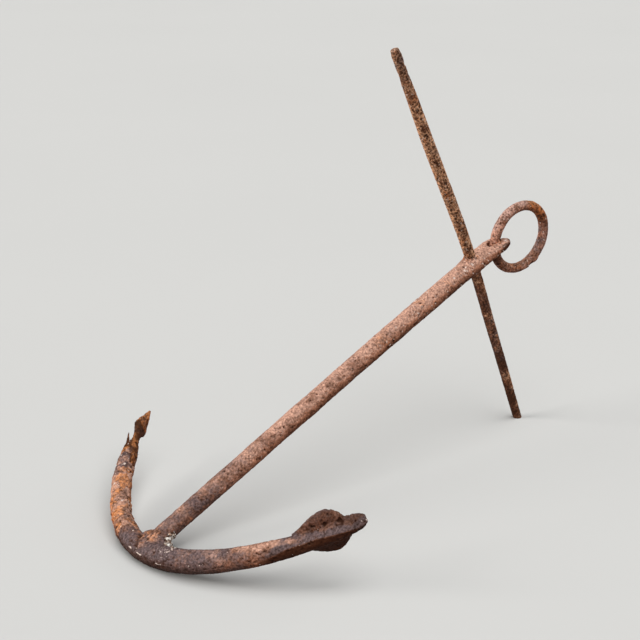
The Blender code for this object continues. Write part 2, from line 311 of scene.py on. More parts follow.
def sculpt(piece, rule):
    """Raise each vertex along its normal and keep the masks.

    The rule takes the surface settings, a place on the anchor's axes, the spot to read noise
    at and the normal.  It returns the rise and a value for each of MASKS.
    """
    surface = bpy.context.scene.anchor_surface
    noise.seed_set(NOISE_SEED)
    drift = Vector((0.31, 0.17, 0.23)) * surface.seed
    mesh = piece.data
    turn = TO_ANCHOR.to_3x3()
    places = []
    levels = {name: [] for name in MASKS}
    for vertex in mesh.vertices:
        place = TO_ANCHOR @ vertex.co
        rise, marks = rule(surface, place, place + drift, turn @ vertex.normal)
        for name in MASKS:
            levels[name].append(min(max(marks.get(name, 0.0), 0.0), 1.0))
        places += list(vertex.co + vertex.normal * rise)
    mesh.vertices.foreach_set("co", places)
    for name in MASKS:
        mask = mesh.attributes.new(name, 'FLOAT', 'POINT')
        mask.data.foreach_set("value", levels[name])
    mesh.update()


def thin_out(piece):
    """Merge faces down to MOST_TRIANGLES and keep every vertex in the solids' box."""
    count = sum(len(face.vertices) - 2 for face in piece.data.polygons)
    if count > MOST_TRIANGLES:
        fewer = piece.modifiers.new("fewer_faces", 'DECIMATE')
        fewer.ratio = MOST_TRIANGLES / count
        freeze(piece)
    low, high = cad_box
    for vertex in piece.data.vertices:
        vertex.co = [min(max(vertex.co[i], low[i]), high[i]) for i in range(3)]
    piece.data.shade_smooth()


def arm_length(place):
    """Rough signed length along the arms from the crown; positive to the broken fluke."""
    y = place.y
    return y * (1.0 + 0.6 * (ARM_BEND * y) ** 2)


# --- rules for each piece --------------------------------------------------------
# Places are on the anchor's axes, in millimetres.  Ramps are (millimetres, level) stops.

OUTER_SIDE = Vector((-0.69, 0.66, 0.30))       # of the broken arm's bend
INNER_SIDE = Vector((0.66, -0.70, 0.27))
STOCK_LEFT_SIDE = Vector((-0.69, 0.66, -0.30))    # the stock's left-facing side and its shaded side, for painted light and shade
STOCK_SHADED_SIDE = Vector((-0.20, -0.98, 0.05))

WEB_CENTRE = (8, 1, 7)
WEB_GROOVE = ((5.8, 8.4, 7.4), (-5.0, 0.6, 7.2))
# Pale flecks with painted glints on the crown's upward faces.
CROWN_FLECKS_AND_GLINTS = (7, -24, 8.4)
SPALL = ((55.5, 90.0, 0.8), (71.0, 104.0, 1.4))     # where scale has burst off the broken arm
BARK_EDGE = ((54.0, 88.5, 4.0), (60.0, 95.5, 5.0), (66.0, 103.5, 5.4))
BARK_SWELLING = (73, 112, 2.5)
SPLINTER = ((65.0, 107.5, 4.8), (69.5, 113.5, 4.0), (78.0, 122.5, 3.5))
REMNANT_CREVICE = ((90.5, 124.5, 5.5), (88.5, 122.5, 0.0), (86.5, 121.5, -4.5))
# The top of the palm's root, where a highlight is painted.
PALM_ROOT_TOP = ((36, -73, 7.8), (54, -102, 6.0))
PALM_HOLLOW = ((72, -112, 8.5), (93, -123.5, 7.0))
PALM_RIDGE = ((51.6, -103.3, 4.2), (68.8, -116.1, 4.3), (80, -124.5, 3.0), (94.4, -132.5, 0))
PALM_GROOVE = ((66, -106, 9.0), (73, -111.5, 9.0), (80, -117.5, 9.2), (91, -124, 7.2))
PALM_PITS = (((79, -117, 9.5), 2.1), ((84, -119, 9.0), 1.7), ((88.5, -123.5, 7.4), 2.9),
             ((73, -111, 9.5), 1.3))
# Painted shade under the tip of the eye's lower prong.
EYE_END_SHADE = (403, -8.5, -2.5)
FLAKED_EDGES = (((-5.9, 11, 5.6), (-6.6, 1, 5.4), (-6.8, -7, 4.9)),
                ((-5.8, -20, 3.4), (-4.8, -28, 2.6)))
# Pale flecks and painted highlights, as centre, radius and strength; the spots on the bill's tip
# and on the shank near the eye are painted highlights.
PALE_CHIPS_AND_GLINTS = (((48, 88.8, 6.9), 2.4, 0.9), ((45.7, 83.6, 5.8), 2.0, 0.5),
              ((21.6, 54.2, 6.6), 2.4, 0.9), ((102.5, -132, 0.5), 2.0, 0.8),
              ((102.9, -131, -1.8), 1.6, 0.7), ((348, -6.5, 5.6), 4.0, 0.5),
              ((340, -5.0, 6.6), 3.2, 0.35), ((49.3, 83.8, 2.6), 3.4, 0.5),
              ((32.8, 64.5, 2.1), 4.0, 0.3), ((2.6, -38.5, 6.6), 1.6, 0.45),
              ((-0.9, -29.6, 6.4), 1.3, 0.35), ((0.5, -4.5, 8.6), 1.4, 0.45),
              ((0.1, -13.7, 8.5), 1.6, 0.4), ((-3.2, 18.9, 6.7), 1.5, 0.45),
              ((15.6, -48.2, 8.2), 1.5, 0.4))
RING_NOTCH = (419.0, -5.2, -38.0)
RING_STEP = (425.0, -5.8, -36.6)
RING_SHADE = (388.0, -3.0, -14.0)

RIDGE_HEIGHT = ((36, 0.5), (46, 3.0), (51.6, 4.2), (69, 4.3), (80, 3.0), (87, 2.0), (95, 0.0))
SHANK_TAN = ((20, 0.28), (60, 0.42), (110, 0.56), (170, 0.46), (215, 0.63), (290, 0.70),
             (350, 0.82))
ARM_TAN = ((-118, 0.02), (-104, 0.30), (-72, 0.40), (-40, 0.06), (22, 0.05), (36, 0.60),
           (60, 1.08), (90, 1.10), (102, 0.48), (118, 0.40), (126, 0.05))
SHANK_FILM = ((20, 0.60), (80, 0.38), (120, 0.14), (330, 0.10))
ARM_FILM = ((-120, 0.25), (-100, 0.40), (-66, 0.72), (-20, 0.95), (14, 0.90), (20, 0.60),
            (34, 0.15), (88, 0.10), (100, 0.55), (120, 0.55), (126, 0.0))
ARM_ORANGE = ((92, 1.0), (104, 0.2), (122, 0.2), (128, 1.0))
SHANK_CHIPS = ((20, 0.25), (180, 0.4), (300, 1.0))
ROD_TAN = ((-168, 0.0), (-110, 0.05), (-20, 0.12), (10, 0.40), (80, 0.55), (130, 0.50),
           (165, 0.24), (185, 0.08))
# Painted light on the stock's left-facing side, by height.
ROD_LEFT_LIGHT = ((10, 0.85), (120, 0.85), (165, 0.5))
ROD_FILM = ((-168, 0.18), (-110, 0.22), (-95, 0.50), (-60, 0.42), (0, 0.10), (170, 0.05),
            (186, 0.35))
ROD_ORANGE = ((-168, 0.2), (-40, 0.35), (40, 1.0), (170, 0.8), (184, 0.1))
ROD_DARK = ((-168, 0.62), (-104, 0.44), (-84, 0.12), (-20, 0.12), (10, 0.0))
# Painted shade on the stock's left-facing side, by height.
ROD_LEFT_SHADE = ((-168, 0.45), (-100, 0.30), (0, 0.25))


def crisp_ends(place):
    """1 where the forging is thin and keeps its edges, such as the fluke's remnant."""
    along = arm_length(place)
    ends = max(smooth(98 * MM, 106 * MM, -along), smooth(116 * MM, 126 * MM, along))
    return 0.85 * max(ends, smooth(374 * MM, 384 * MM, place.x))


class BodyPlace:
    """A place on the forged body, with the zones that it lies in, each from 0 to 1."""

    def __init__(self, place, spot, normal):
        self.place, self.spot, self.normal = place, spot, normal
        self.along = arm_length(place) / MM
        self.up_shank = place.x / MM
        self.find_zones()
        self.find_scale()
        self.find_palm_details()

    def find_zones(self):
        """Which part of the forging this is, and which way it faces."""
        place, along = self.place, self.along
        self.on_shank = smooth(12 * MM, 24 * MM, place.x - ARM_BEND * place.y ** 2)
        self.on_shank *= 1.0 - smooth(14 * MM, 20 * MM, abs(place.y))
        self.on_arms = 1.0 - self.on_shank
        self.outer = smooth(0.25, 0.85, self.normal.dot(OUTER_SIDE))
        inner = smooth(0.25, 0.85, self.normal.dot(INNER_SIDE))
        self.reach = along + 9 * inner - 9 * self.outer
        edge = self.reach + 6 * lumps(self.spot, 14 * MM, 1)
        self.flaking = self.on_arms * smooth(12, 32, edge)
        self.plain = self.on_arms * (1.0 - self.flaking) * smooth(-84, -70, along)
        self.web = near(place, WEB_CENTRE, 15)
        self.palm = self.on_arms * smooth(104, 118, -along)
        self.neck = self.on_arms * smooth(120, 127, along) * smooth(150, 142, along)
        self.remnant = self.on_arms * smooth(122, 130, along)
        self.thin = max(self.palm, self.remnant)
        self.blade = self.remnant * smooth(74, 80, self.up_shank)
        self.blade_root = self.blade * smooth(90, 87, self.up_shank)
        # Faces that point up; the tan mask lightens them as painted light from above.
        self.upward = smooth(0.84, 0.99, self.normal.z)
        # A painted highlight on the upward faces at the palm's root.
        self.palm_root_highlight = beside(place, PALM_ROOT_TOP, 8.0) * smooth(0.74, 0.96, self.normal.z)

    def find_scale(self):
        """Pits, plates and flakes, and where scale has burst off."""
        place, spot = self.place, self.spot
        crowded = smooth(-0.25, 0.35, lumps(spot, 22 * MM, 5))
        self.pit = pits(spot, 3.2 * MM, 6, 0.30 + 0.35 * crowded)
        self.fine_pit = pits(spot, 1.8 * MM, 7, 0.38)
        self.plate, self.tone, self.crack, self.lip = plates(spot, 7.0 * MM, 11)
        self.flake, self.flake_tone, self.thin_crack, self.thin_lip = plates(spot, 4.0 * MM, 18)
        self.loose = max(self.flaking, 1.2 * self.web)
        burst = beside(place, SPALL, 4.2) + 0.2 * lumps(spot, 4 * MM, 12)
        self.burst = smooth(0.1, 0.45, burst)
        self.core = max(self.burst, 0.8 * self.neck)
        self.fibres = streaks(spot, place, 19)
        self.bark = self.on_arms * smooth(96, 104, self.along) * (1.0 - self.core)
        self.bark_edge = beside(place, BARK_EDGE, 1.6)
        self.crevice = beside(place, REMNANT_CREVICE, 1.4)
        self.web_groove = beside(place, WEB_GROOVE, 2.2)
        self.flaked = max(beside(place, edge, 0.75) for edge in FLAKED_EDGES)
        self.flaked *= smooth(-0.35, 0.05, lumps(spot, 3.5 * MM, 9))

    def find_palm_details(self):
        """Holes and a groove in the whole palm, its sides above and below the ridge, and the
        painted shade on the side below it.
        """
        place, spot = self.place, self.spot
        self.palm_pits = 0.0
        for centre, radius in PALM_PITS:
            hole = near(place, centre, radius) + 0.7 * lumps(spot, 2.2 * MM, 29)
            self.palm_pits = max(self.palm_pits, smooth(0.15, 0.75, hole))
        self.palm_groove = beside(place, PALM_GROOVE, 1.5)
        self.palm_groove *= smooth(-0.5, 0.2, lumps(spot, 4 * MM, 31))
        # The palm's side below the ridge carries painted shade.
        over_ridge = place.z / MM - ramp(self.up_shank, *RIDGE_HEIGHT)
        self.shade_below_ridge = self.on_arms * smooth(0.3, -0.9, over_ridge)
        self.shade_below_ridge *= smooth(94, 116, -self.along)
        top = over_ridge + 1.2 * lumps(spot, 5 * MM, 20)
        self.palm_top = self.palm * smooth(2.4, 4.2, top)


def body_rise(surface, at):
    """How far rust stands above the forged body's solid."""
    place, spot = at.place, at.spot
    stout = 1.0 - 0.7 * at.thin
    rise = surface.waviness * stout * lumps(spot, 26 * MM, 2, 2)
    rise += 0.5 * surface.waviness * stout * lumps(spot, 8 * MM, 3, 2)
    rise += surface.grain * (0.8 + 0.8 * at.flaking - 0.3 * at.thin) * lumps(spot, 2.6 * MM, 4, 3)
    rise -= surface.pit_depth * (0.6 * at.pit + 0.36 * at.fine_pit) * (1.0 - 0.5 * at.thin)

    stack = 0.5 * terraces(spot, 9 * MM, 8, 3) + 0.35 * at.plate + 0.25 * at.flake
    stack = stack - 0.3 * at.crack - 0.12 * at.thin_crack - 0.5
    rise += surface.scale_thickness * at.loose * stout * (1.0 - 0.8 * at.core) * stack
    rise += MM * (0.35 * at.core * at.fibres - 0.9 * at.burst)
    rise -= 0.5 * MM * at.bark_edge
    rise -= MM * (1.0 * at.palm_pits + 0.4 * at.palm_groove)
    rise -= 0.7 * MM * beside(place, PALM_HOLLOW, 4.5) + 0.9 * MM * at.web_groove
    rise += 1.3 * MM * near(place, BARK_SWELLING, 6) * max(0.0, at.normal.dot(OUTER_SIDE))
    ridge = beside(place, PALM_RIDGE, 2.0)
    rise += 0.7 * MM * ridge * ridge
    rise -= 0.5 * MM * at.crevice
    rise += 0.4 * MM * at.flaked
    return rise


# The next five give one mask each; sculpt keeps it between 0 and 1.

def body_tan(at):
    tan = at.on_shank * ramp(at.up_shank, *SHANK_TAN)
    tan += at.on_arms * ramp(at.reach, *ARM_TAN)
    # Painted light: paler on faces that point up on the plain arms and the shank, with a painted
    # highlight at the palm's root.
    tan += 0.40 * at.plain * at.upward + 0.5 * at.palm_root_highlight + 0.12 * at.on_shank * at.upward
    # Plate tones that differ at random, and painted light on the broken arm's outer side.
    tan += at.flaking * (0.9 * (at.tone - 0.42) + 0.4 * (at.flake_tone - 0.5) + 0.3 * at.outer)
    tan += at.web * (0.20 + 1.1 * (at.flake_tone - 0.45)) + 0.22 * (at.palm - at.palm_top)
    return tan


def body_film(at):
    film = at.on_shank * ramp(at.up_shank, *SHANK_FILM)
    film += at.on_arms * ramp(at.reach, *ARM_FILM)
    film += 0.6 * at.flaking * (0.5 - at.tone) - at.core - 0.5 * at.palm_top + 0.75 * at.palm
    # Less film under the painted highlight at the palm's root and under the painted shade below
    # the palm's ridge.
    film += 0.5 * at.blade_root - 0.5 * at.web - 0.7 * at.palm_root_highlight - at.shade_below_ridge
    return film


def body_orange(at):
    spot = at.spot
    fresh = 0.28 + 0.36 * smooth(0.5, 0.8, at.plate) + 0.15 * at.outer
    # The painted shade below the palm's ridge is a little orange.
    orange = 0.15 * at.shade_below_ridge
    orange += at.flaking * fresh * ramp(at.along, *ARM_ORANGE)
    orange += 0.55 * at.web * smooth(0.2, 0.6, 0.5 * at.tone + 0.5 * at.flake_tone)
    orange += at.core + 0.35 * at.on_shank * smooth(0.25, 0.6, lumps(spot, 13 * MM, 15))
    blotch = 0.12 + 0.35 * smooth(-0.2, 0.3, lumps(spot, 4 * MM, 16))
    return orange + (at.blade - at.blade_root) * blotch


def body_dark(at):
    place, up_shank, facing = at.place, at.up_shank, at.normal.z
    dark = (0.65 * at.pit + 0.5 * at.fine_pit) * (1.0 - 0.3 * at.flaking - 0.35 * at.on_shank)
    dark += at.flaking * (0.22 * smooth(0.7, 0.9, at.flake_tone)
                          + 0.15 * smooth(0.35, 0.1, at.plate))
    broken = smooth(-0.25, 0.2, lumps(at.spot, 6 * MM, 30))
    cracks = 0.5 * at.crack + 0.25 * at.thin_crack
    dark += at.loose * broken * cracks * (1.0 - max(0.5 * at.thin, 0.5 * at.bark))
    low_side = smooth(0.15, -0.5, facing)
    dark += at.palm * (0.14 - 0.16 * low_side + 0.22 * smooth(86, 93, up_shank))
    # Darker bark on its outer side, and less dark under the painted highlight at the palm's root.
    dark += 0.3 * at.bark * at.outer - 0.15 * at.palm_root_highlight

    # Painted shade under the crown's lower flank, strongest near the floor.
    shade_below_crown = smooth(-0.6, -0.95, at.normal.x) * smooth(-48, -20, at.along)
    dark += at.plain * shade_below_crown * (0.30 + 0.25 * smooth(5.2, 3.8, place.z / MM))
    # Painted shade on faces of the plain arms that point down.
    dark += at.plain * 0.30 * smooth(0.60, -0.1, facing)
    dark += 0.3 * at.flaking * at.outer * smooth(42, 28, at.along)
    # Painted shade on faces that point down, on the broken arm and on the upper shank.
    dark += 0.30 * at.flaking * smooth(0.45, 0.0, facing) * (1.0 - at.outer)
    dark += 0.60 * at.on_shank * smooth(0.35, -0.25, facing) * ramp(up_shank, (60, 0), (220, 1))

    splinter = smooth(0.0, 0.5, beside(place, SPLINTER, 4.2))
    # Painted shade below the palm's ridge, with the palm top, groove and pits darker.
    dark += 0.84 * at.shade_below_ridge + 0.20 * at.palm_top + 0.5 * at.palm_groove + at.palm_pits
    dark += 0.18 * at.blade + 0.50 * at.blade_root + 0.8 * at.crevice + 0.65 * splinter
    dark += at.core * (0.40 + 0.45 * smooth(0.0, 0.45, at.fibres)) + 0.45 * at.bark_edge
    dark += 0.7 * at.web_groove

    # Painted shade on the end face of the eye's prong and under its tip.
    eye_end_shade = smooth(-9.2, -10.6, place.y / MM) * smooth(385, 391, up_shank)
    eye_end_shade += smooth(398.6, 400.6, up_shank) * smooth(-6.0, -7.6, place.y / MM)
    dark += 0.75 * min(eye_end_shade, 1.0) + 0.7 * near(place, EYE_END_SHADE, 4.5)
    return dark


def body_chips_and_glints(at):
    place, spot = at.place, at.spot
    plain_arm = 0.5 * at.on_arms * (1.0 - 0.7 * max(at.palm, at.shade_below_ridge, at.blade))
    chips = smooth(0.36, 0.60, lumps(spot, 2.1 * MM, 10, 2))
    chips *= plain_arm + at.on_shank * ramp(at.up_shank, *SHANK_CHIPS)
    # Painted highlight along the top edge of the eye's end.
    chips += 0.5 * smooth(1.2, 2.2, place.z / MM) * smooth(392, 397, at.up_shank)
    edges = max(at.lip, at.thin_lip) * smooth(-0.1, 0.25, lumps(spot, 3.5 * MM, 28))
    # Pale lifted lips of the plates, and painted highlights on the outer side.
    glints = 0.5 * edges + 0.15 * at.outer * smooth(0.5, 0.8, at.tone)
    chips += 1.6 * at.flaked + at.flaking * (1.0 - at.thin) * (1.0 - at.core) * glints
    # Pale flecks with painted glints on the crown's upward faces.
    chips += 0.5 * near(place, CROWN_FLECKS_AND_GLINTS, 11) * at.upward
    # Pale flecks and painted highlights at the spots listed above.
    for centre, radius, strength in PALE_CHIPS_AND_GLINTS:
        touch = near(place, centre, radius) + 0.6 * lumps(spot, 1.8 * MM, 17)
        chips += strength * smooth(0.4, 0.8, touch)
    return chips


def body_rule(surface, place, spot, normal):
    at = BodyPlace(place, spot, normal)
    patch = lumps(spot, 16 * MM, 13, 3)
    marks = {
        "tan": body_tan(at) + 0.40 * patch,
        "film": body_film(at) - 0.20 * patch,
        "orange": body_orange(at),
        "dark": body_dark(at),
        "chips": body_chips_and_glints(at),
    }
    return body_rise(surface, at), marks


def rod_rule(surface, place, spot, normal):
    height = place.z / MM
    pit = pits(spot, 2.5 * MM, 23, 0.70)
    fine_pit = pits(spot, 1.5 * MM, 24, 0.55)
    rise = 0.35 * surface.waviness * lumps(spot, 16 * MM, 21, 2)
    rise += 0.75 * surface.grain * lumps(spot, 2.3 * MM, 22, 3)
    rise -= surface.pit_depth * (0.45 * pit + 0.26 * fine_pit)

    upper = smooth(-5, 15, height)
    lower = 1.0 - upper
    # Which way a face turns, for the painted light and shade below.
    left_facing = smooth(0.3, 0.85, normal.dot(STOCK_LEFT_SIDE))
    shaded_facing = smooth(0.2, 0.9, normal.dot(STOCK_SHADED_SIDE))
    broad = lumps(spot, 11 * MM, 34, 3)
    stain = lower * max(smooth(-0.05, 0.3, broad), smooth(12, 5, abs(height + 96)))
    bare = lower * max(smooth(-0.05, -0.3, broad), 1.4 * smooth(9, 3, abs(height + 114)))
    bare *= 1.0 - 0.6 * left_facing

    tan = ramp(height, *ROD_TAN) + 0.35 * lumps(spot, 9 * MM, 25, 3)
    # Painted light: the upper stock is lighter on its left-facing side, and the lower stock on
    # its right side.
    tan += (ramp(height, *ROD_LEFT_LIGHT) * upper - 0.2) * left_facing
    tan += lower * 0.5 * smooth(0.1, 0.8, normal.x) + 0.32 * bare - 0.3 * stain
    tan += 0.35 * smooth(178, 186, height) + 0.08 * smooth(40, 60, height)
    dark = (pit + 0.9 * fine_pit) * (1.0 - 0.45 * lower)
    dark += ramp(height, *ROD_DARK) + 0.40 * stain - 0.25 * bare
    # Painted shade: the upper stock is darker on its shaded side, and the lower stock on its
    # left-facing side.
    dark += 0.18 * upper * shaded_facing + ramp(height, *ROD_LEFT_SHADE) * lower * left_facing
    blotch = 0.55 * smooth(0.05, 0.5, lumps(spot, 7 * MM, 26))
    flecks = smooth(0.34, 0.6, lumps(spot, 2.0 * MM, 27, 2))
    marks = {
        "tan": tan,
        "film": ramp(height, *ROD_FILM),
        "orange": blotch * ramp(height, *ROD_ORANGE),
        "dark": dark,
        "chips": flecks * (1.0 - 0.8 * lower),
    }
    return rise, marks


def ring_rule(surface, place, spot, normal):
    pit = pits(spot, 2.8 * MM, 43, 0.45)
    fine_pit = pits(spot, 1.6 * MM, 44, 0.42)
    notch = near(place, RING_NOTCH, 3.2)
    step = near(place, RING_STEP, 3.4)
    rise = 0.5 * surface.waviness * lumps(spot, 14 * MM, 41, 2)
    rise += 0.7 * surface.grain * lumps(spot, 2.4 * MM, 42, 3)
    rise += MM * (0.8 * step - 1.0 * notch)
    rise -= surface.pit_depth * (0.45 * pit + 0.26 * fine_pit)

    height = place.z / MM
    top = smooth(-10, 14, height)
    far_side = smooth(424, 434, place.x / MM)
    golden = far_side * smooth(-12, -2, height) * smooth(26, 16, height)
    mauve = far_side * smooth(-8, -16, height)
    patch = lumps(spot, 10 * MM, 45, 3)
    haze = smooth(0.1, 0.5, lumps(spot, 17 * MM, 47))
    blotch = 0.4 * smooth(0.0, 0.45, lumps(spot, 9 * MM, 46))
    shade = near(place, RING_SHADE, 12)
    marks = {
        "tan": 0.40 + 0.35 * top + 0.45 * patch - 0.45 * golden + 0.2 * mauve,
        "film": 0.1 + 0.25 * mauve + 0.3 * haze,
        "orange": blotch * (1.0 - max(mauve, 0.6 * top)) + 0.6 * golden,
        "dark": 0.9 * pit + 0.8 * fine_pit + 0.9 * notch + 0.3 * golden + 0.6 * shade,
        "chips": 0.7 * smooth(0.36, 0.62, lumps(spot, 2.0 * MM, 48, 2)),
    }
    return rise, marks


def crust_rule(surface, place, spot, normal):
    grain = lumps(spot, 2.2 * MM, 61, 3)
    crumb, tone, crack, _ = plates(spot, 2.6 * MM, 62)
    rise = 0.6 * MM * grain + 0.9 * MM * crumb - 0.5 * MM * crack
    marks = {
        "tan": 0.5 * smooth(-0.3, 0.5, lumps(spot, 4 * MM, 63)) + 0.6 * tone,
        "orange": 0.4 * smooth(0.1, 0.5, lumps(spot, 5 * MM, 64)),
        "dark": crack + smooth(0.0, 0.4, lumps(spot, 3 * MM, 65)),
        "chips": smooth(0.1, 0.5, grain),
    }
    return rise, marks


def fill_rule(surface, place, spot, normal):
    rise = 0.35 * MM * lumps(spot, 2.4 * MM, 71, 3)
    pit = pits(spot, 1.8 * MM, 72, 0.4)
    marks = {
        "tan": 0.7 + 0.4 * lumps(spot, 5 * MM, 73),
        "orange": 0.5 * smooth(0.0, 0.5, lumps(spot, 4 * MM, 74)),
        "dark": pit,
        "chips": smooth(0.3, 0.6, lumps(spot, 2.0 * MM, 75, 2)),
    }
    return rise - 0.3 * MM * pit, marks


# --- shader building -------------------------------------------------------------

# The Mix node's sockets for colours, which share their names with its other sockets.
MIX_FACTOR, MIX_FIRST, MIX_SECOND, MIX_COLOUR = 0, 6, 7, 2

GROUP_COLOURS = ("Brown", "Tan", "Film", "Orange", "Dark", "Chip")
GROUP_AMOUNTS = ("Speckle", "Grain", "Chip Cover", "Underside")

# Painted shade on faces that point down: the normal's Z where a tint starts and is full, the
# tint, and its share on full film.
UNDERSIDE_SHADE_TINTS = (
    (0.62, 0.0, (0.92, 0.68, 0.54, 1.0), 0.5),
    (0.10, -0.6, (0.50, 0.42, 0.38, 1.0), 1.0),
)


def add_node(tree, kind, **settings):
    made = tree.nodes.new(kind)
    for name, value in settings.items():
        setattr(made, name, value)
    return made


def feed(tree, socket, value):
    """Link a socket to another one, or set it to a plain value."""
    if isinstance(value, bpy.types.NodeSocket):
        tree.links.new(value, socket)
    else:
        socket.default_value = value


def math_node(tree, operation, *values):
    made = add_node(tree, "ShaderNodeMath", operation=operation)
    for socket, value in zip(made.inputs, values):
        feed(tree, socket, value)
    return made.outputs[0]


def spread(tree, value, low, high, first, second):
    """Map low..high to first..second."""
    made = add_node(tree, "ShaderNodeMapRange")
    for label, amount in (("Value", value), ("From Min", low), ("From Max", high),
                          ("To Min", first), ("To Max", second)):
        feed(tree, made.inputs[label], amount)
    return made.outputs["Result"]


def between(tree, value, low, high):
    """An S-shaped mask of value: 0 at low, 1 at high."""
    result = spread(tree, value, low, high, 0.0, 1.0)
    result.node.interpolation_type = 'SMOOTHSTEP'
    return result


def mix_colour(tree, mask, first, second, blend='MIX'):
    made = add_node(tree, "ShaderNodeMix", data_type='RGBA', blend_type=blend)
    feed(tree, made.inputs[MIX_FACTOR], mask)
    feed(tree, made.inputs[MIX_FIRST], first)
    feed(tree, made.inputs[MIX_SECOND], second)
    return made.outputs[MIX_COLOUR]


def noise_node(tree, where, size, detail=2.0, roughness=0.5):
    made = add_node(tree, "ShaderNodeTexNoise")
    feed(tree, made.inputs["Vector"], where)
    made.inputs["Scale"].default_value = 1.0 / size
    made.inputs["Detail"].default_value = detail
    made.inputs["Roughness"].default_value = roughness
    return made.outputs["Fac"]


def layered_rust_group():
    """Rust of six colours, mixed by the sculpted masks and by finer noise."""
    name = "layered_rust"
    if name in bpy.data.node_groups:
        return bpy.data.node_groups[name]
    tree = bpy.data.node_groups.new(name, "ShaderNodeTree")
    for label in GROUP_COLOURS:
        tree.interface.new_socket(label, in_out='INPUT', socket_type='NodeSocketColor')
    for label in [mask.title() + " Mask" for mask in MASKS] + list(GROUP_AMOUNTS):
        tree.interface.new_socket(label, in_out='INPUT', socket_type='NodeSocketFloat')
    tree.interface.new_socket("Color", in_out='OUTPUT', socket_type='NodeSocketColor')
    tree.interface.new_socket("Roughness", in_out='OUTPUT', socket_type='NodeSocketFloat')
    tree.interface.new_socket("Height", in_out='OUTPUT', socket_type='NodeSocketFloat')
    given = add_node(tree, "NodeGroupInput").outputs
    coords = add_node(tree, "ShaderNodeTexCoord").outputs
    where = coords["Object"]

    patches = noise_node(tree, where, 7 * MM, 4.0, 0.65)
    mottle = noise_node(tree, where, 2.6 * MM, 3.0, 0.6)
    specks = noise_node(tree, where, 1.5 * MM, 1.0, 0.5)
    grains = noise_node(tree, where, 1.6 * MM, 3.0, 0.6)
    flecks = noise_node(tree, where, 1.7 * MM, 1.0, 0.5)
    uneven = spread(tree, patches, 0.25, 0.75, -0.34, 0.34)
    uneven = math_node(tree, 'ADD', uneven, spread(tree, mottle, 0.3, 0.7, -0.16, 0.16))
    uneven = math_node(tree, 'MULTIPLY', uneven, given["Grain"])

    colour = given["Brown"]
    for label in ("Tan", "Film"):
        cover = math_node(tree, 'ADD', given[label + " Mask"], uneven)
        colour = mix_colour(tree, between(tree, cover, 0.10, 0.90), colour, given[label])
    blotches = spread(tree, mottle, 0.3, 0.7, -0.18, 0.18)
    fresh = math_node(tree, 'ADD', given["Orange Mask"], blotches)
    colour = mix_colour(tree, between(tree, fresh, 0.20, 0.90), colour, given["Orange"])

    contrast = spread(tree, given["Film Mask"], 0.0, 1.0, 0.46, 0.62)
    contrast = math_node(tree, 'MULTIPLY', contrast, given["Grain"])
    shade = math_node(tree, 'MULTIPLY', spread(tree, grains, 0.3, 0.7, -1.0, 1.0), contrast)
    shade = math_node(tree, 'ADD', shade, spread(tree, mottle, 0.3, 0.7, 0.82, 1.18))
    grey = add_node(tree, "ShaderNodeCombineColor")
    for socket in grey.inputs:
        tree.links.new(shade, socket)
    colour = mix_colour(tree, 1.0, colour, grey.outputs["Color"], 'MULTIPLY')

    dots = math_node(tree, 'MULTIPLY', between(tree, specks, 0.54, 0.66), given["Speckle"])
    deep = math_node(tree, 'MAXIMUM', dots, given["Dark Mask"])
    colour = mix_colour(tree, math_node(tree, 'MULTIPLY', deep, 0.95), colour, given["Dark"])

    # Painted shade: faces that point down get a darker, redder tint, less of it under full film.
    facing = add_node(tree, "ShaderNodeSeparateXYZ")
    tree.links.new(coords["Normal"], facing.inputs["Vector"])
    for starts, full, tint, on_film in UNDERSIDE_SHADE_TINTS:
        under = between(tree, facing.outputs["Z"], starts, full)
        under = math_node(tree, 'MULTIPLY', under, given["Underside"])
        kept = spread(tree, given["Film Mask"], 0.0, 1.0, 1.0, on_film)
        under = math_node(tree, 'MULTIPLY', under, kept)
        shaded_colour = mix_colour(tree, 1.0, colour, tint, 'MULTIPLY')
        colour = mix_colour(tree, under, colour, shaded_colour)

    # Pale flecks and painted highlights, from the mask and finer noise.
    uneven = spread(tree, flecks, 0.3, 0.7, -0.3, 0.3)
    chips = math_node(tree, 'ADD', given["Chips Mask"], uneven)
    chips = math_node(tree, 'MULTIPLY', between(tree, chips, 0.45, 1.0), given["Chip Cover"])
    colour = mix_colour(tree, chips, colour, given["Chip"])

    roughness = spread(tree, math_node(tree, 'SUBTRACT', patches, given["Film Mask"]),
                       -0.5, 0.6, 0.52, 0.9)
    height = math_node(tree, 'SUBTRACT', mottle, math_node(tree, 'MULTIPLY', dots, 0.6))
    height = math_node(tree, 'ADD', height, math_node(tree, 'MULTIPLY', grains, 0.9))

    out = add_node(tree, "NodeGroupOutput").inputs
    tree.links.new(colour, out["Color"])
    tree.links.new(roughness, out["Roughness"])
    tree.links.new(height, out["Height"])
    return tree


